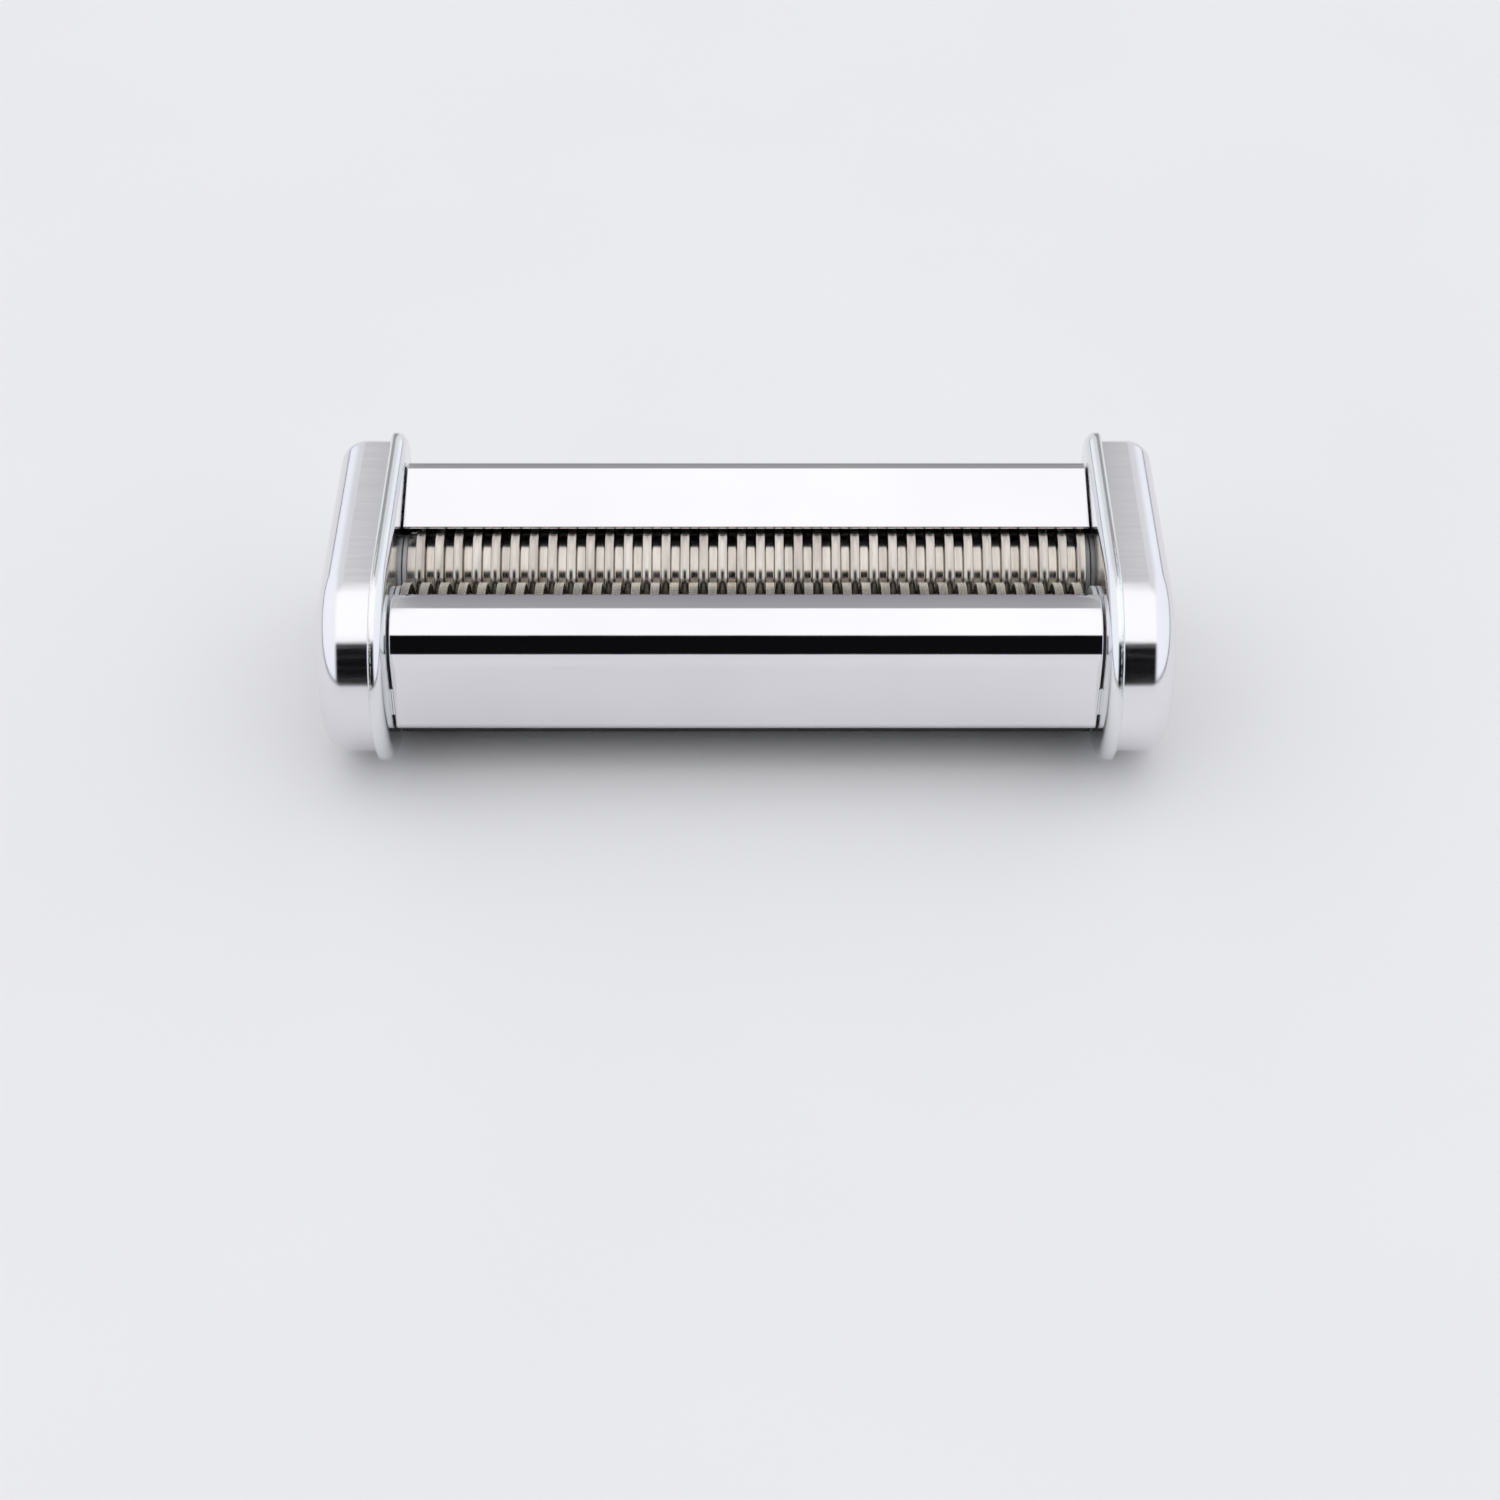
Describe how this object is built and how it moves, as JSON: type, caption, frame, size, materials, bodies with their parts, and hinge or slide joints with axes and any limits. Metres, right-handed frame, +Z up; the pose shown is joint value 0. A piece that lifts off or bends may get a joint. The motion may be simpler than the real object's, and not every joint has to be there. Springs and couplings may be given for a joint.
{
  "type": "pasta cutter attachment",
  "caption": "Chromed pasta cutter head: meshing grooved rollers geared together between pressed side plates, under bent sheet covers, with stripping combs below.",
  "frame": {"origin": "middle of the footprint, on the surface that the side plates stand on", "axes": "+X along the rollers towards the crank socket, -Y the front, +Z up"},
  "size_m": [0.175, 0.074, 0.046],
  "materials": {
    "chrome": "bright chrome plate on pressed steel sheet",
    "cutter_steel": "turned steel with a warm grey polish",
    "plain_steel": "zinc-plated steel",
    "bronze": "sintered bronze",
    "nylon": "light grey nylon",
    "comb_plastic": "black moulded plastic"
  },
  "bodies": {
    "head": {"front_bush_left": "bronze", "front_bush_right": "bronze", "front_comb": "comb_plastic", "front_comb_rod": "plain_steel", "front_comb_rod_nut_left": "plain_steel", "front_comb_rod_nut_right": "plain_steel", "front_cover": "chrome", "front_thrust_washer_left": "nylon", "front_thrust_washer_right": "nylon", "left_end_cap": "chrome", "left_mounting_rail": "plain_steel", "left_rail_rivet_lower": "plain_steel", "left_rail_rivet_upper": "plain_steel", "left_side_plate": "chrome", "lower_tie_rod": "plain_steel", "lower_tie_rod_nut_left": "plain_steel", "lower_tie_rod_nut_right": "plain_steel", "rear_bush_left": "bronze", "rear_bush_right": "bronze", "rear_comb": "comb_plastic", "rear_comb_rod": "plain_steel", "rear_comb_rod_nut_left": "plain_steel", "rear_comb_rod_nut_right": "plain_steel", "rear_cover": "chrome", "rear_thrust_washer_left": "nylon", "rear_thrust_washer_right": "nylon", "right_end_cap": "chrome", "right_mounting_rail": "plain_steel", "right_rail_rivet_lower": "plain_steel", "right_rail_rivet_upper": "plain_steel", "right_side_plate": "chrome", "upper_tie_rod": "plain_steel", "upper_tie_rod_nut_left": "plain_steel", "upper_tie_rod_nut_right": "plain_steel"},
    "drive_roller": {"drive_cutter_roller": "cutter_steel", "drive_gear": "plain_steel", "drive_gear_clip": "plain_steel"},
    "driven_roller": {"driven_cutter_roller": "cutter_steel", "driven_gear": "plain_steel", "driven_gear_clip": "plain_steel", "driven_roller_clip": "plain_steel"}
  },
  "joints": [
    {"name": "drive_spin", "type": "hinge", "parent": "head", "child": "drive_roller", "pos_m": [0, -0.01063, 0.0235], "axis": [-1, 0, 0], "continuous": true},
    {"name": "driven_spin", "type": "hinge", "parent": "head", "child": "driven_roller", "pos_m": [0, 0.01063, 0.0235], "axis": [-1, 0, 0], "continuous": true}
  ],
  "couplings": [
    {"joint": "driven_spin", "follows": "drive_spin", "ratio": -1}
  ]
}
